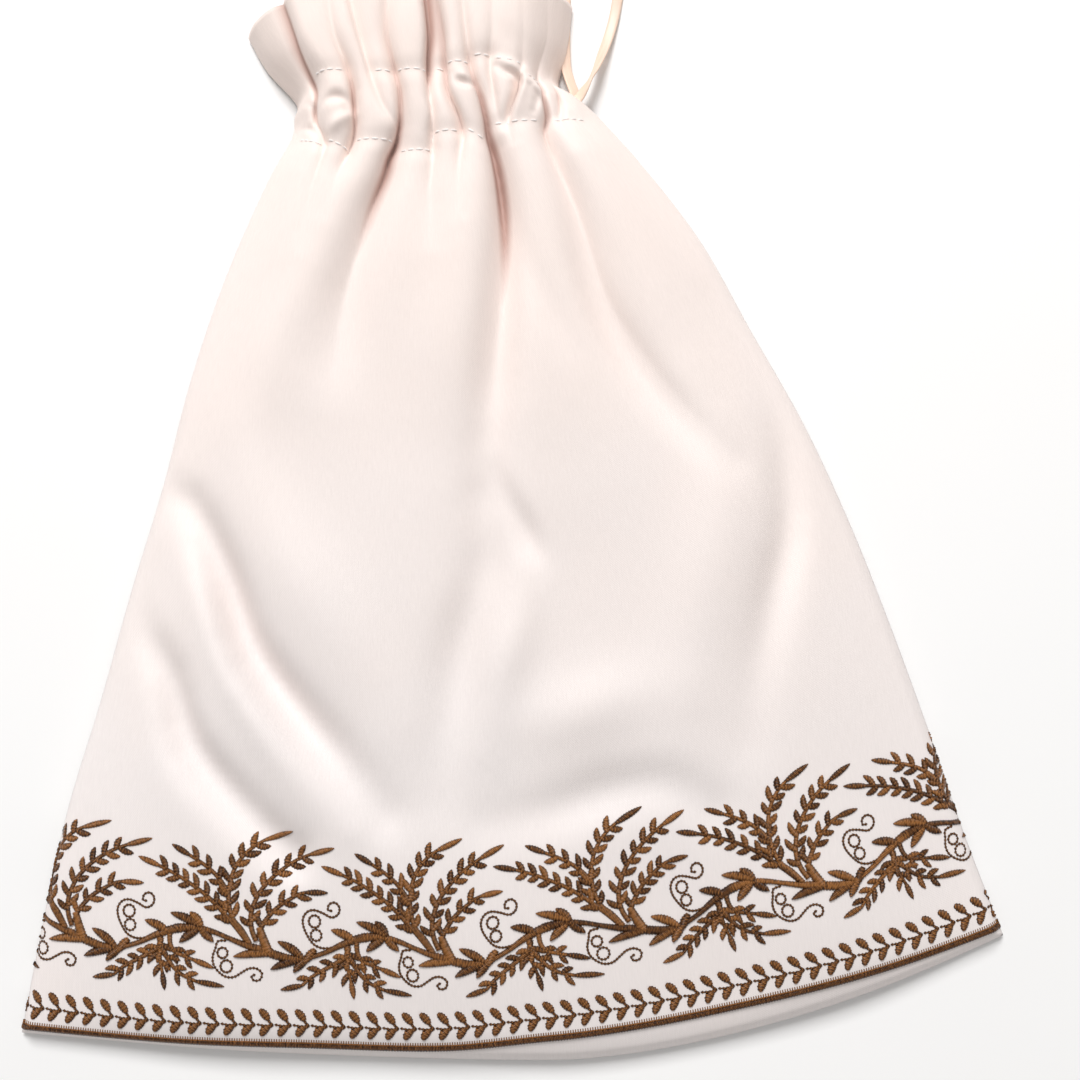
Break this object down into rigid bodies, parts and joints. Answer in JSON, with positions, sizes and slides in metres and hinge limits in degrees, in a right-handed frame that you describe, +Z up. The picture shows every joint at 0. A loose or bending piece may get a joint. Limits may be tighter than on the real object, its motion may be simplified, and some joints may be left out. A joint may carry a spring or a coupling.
{
  "type": "reticule",
  "caption": "Small flared satin drawstring bag lying on its back: gathered casing, ruffled heading, embroidered border and a narrow ribbon.",
  "frame": {"origin": "on the table under the middle of the bag's two panels, the ribbon not counted", "axes": "+X across the bag to the right as seen from above, +Y from the bottom fold to the mouth, +Z up from the table it lies on"},
  "size_m": [0.2492, 0.3438, 0.0226],
  "materials": {
    "satin": "soft blush satin, a fine warp-faced weave with a low sheen",
    "ribbon": "narrow peach satin ribbon",
    "thread": "brown machine embroidery thread, lustrous, in raised satin stitch",
    "sewing_thread": "fine blush sewing thread"
  },
  "bodies": {
    "root": {"front_panel": "satin", "back_panel": "satin", "drawstring": "ribbon"}
  },
  "joints": []
}
